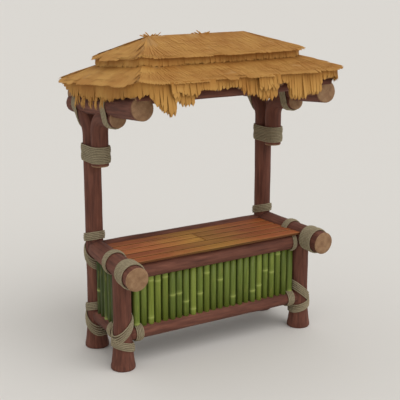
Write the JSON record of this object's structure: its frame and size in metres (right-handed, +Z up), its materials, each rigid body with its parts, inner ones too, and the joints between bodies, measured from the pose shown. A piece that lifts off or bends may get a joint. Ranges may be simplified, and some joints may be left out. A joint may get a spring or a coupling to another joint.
{
  "type": "market_stall",
  "caption": "Wooden market stall of round logs with a plank counter, green bamboo sides, rope lashings and a two-tier thatched hip roof on forked back posts",
  "frame": {"origin": "On the ground, at the middle of the bounding box in plan.", "axes": "+X to the right seen from the serving side, +Y from the serving side to the back, +Z up."},
  "size_m": [2.2152, 1.6755, 2.8724],
  "materials": {
    "bark_log": "smooth red-brown bark with pale sawn ends",
    "sawn_board": "bare sawn boards, orange to golden brown",
    "green_bamboo": "smooth waxy green cane with paler knuckles",
    "dry_thatch": "dry combed straw",
    "fibre_rope": "weathered plant-fibre rope"
  },
  "bodies": {
    "root": {"back_left_post": "bark_log", "back_right_post": "bark_log", "front_left_post": "bark_log", "front_right_post": "bark_log", "left_fork_branch": "bark_log", "right_fork_branch": "bark_log", "left_roof_bearer": "bark_log", "right_roof_bearer": "bark_log", "front_purlin": "bark_log", "back_purlin": "bark_log", "ridge_pole": "bark_log", "roof_rafters": "bark_log", "left_counter_rail": "bark_log", "right_counter_rail": "bark_log", "front_counter_rail": "bark_log", "back_counter_rail": "bark_log", "counter_battens": "sawn_board", "counter_plank_1": "sawn_board", "counter_plank_2": "sawn_board", "counter_plank_3": "sawn_board", "counter_plank_4": "sawn_board", "counter_plank_5": "sawn_board", "left_bottom_rail": "bark_log", "right_bottom_rail": "bark_log", "front_bottom_rail": "bark_log", "back_bottom_rail": "bark_log", "left_bamboo_side": "green_bamboo", "right_bamboo_side": "green_bamboo", "front_bamboo_side": "green_bamboo", "back_bamboo_side": "green_bamboo", "lower_thatch": "dry_thatch", "upper_thatch": "dry_thatch", "thatch_fringe": "dry_thatch", "left_fork_lashing": "fibre_rope", "right_fork_lashing": "fibre_rope", "left_bearer_lashing": "fibre_rope", "right_bearer_lashing": "fibre_rope", "back_left_counter_lashing": "fibre_rope", "back_right_counter_lashing": "fibre_rope", "front_left_counter_lashing": "fibre_rope", "front_right_counter_lashing": "fibre_rope", "back_left_bottom_lashing": "fibre_rope", "back_right_bottom_lashing": "fibre_rope", "front_left_bottom_lashing": "fibre_rope", "front_right_bottom_lashing": "fibre_rope"}
  },
  "joints": []
}
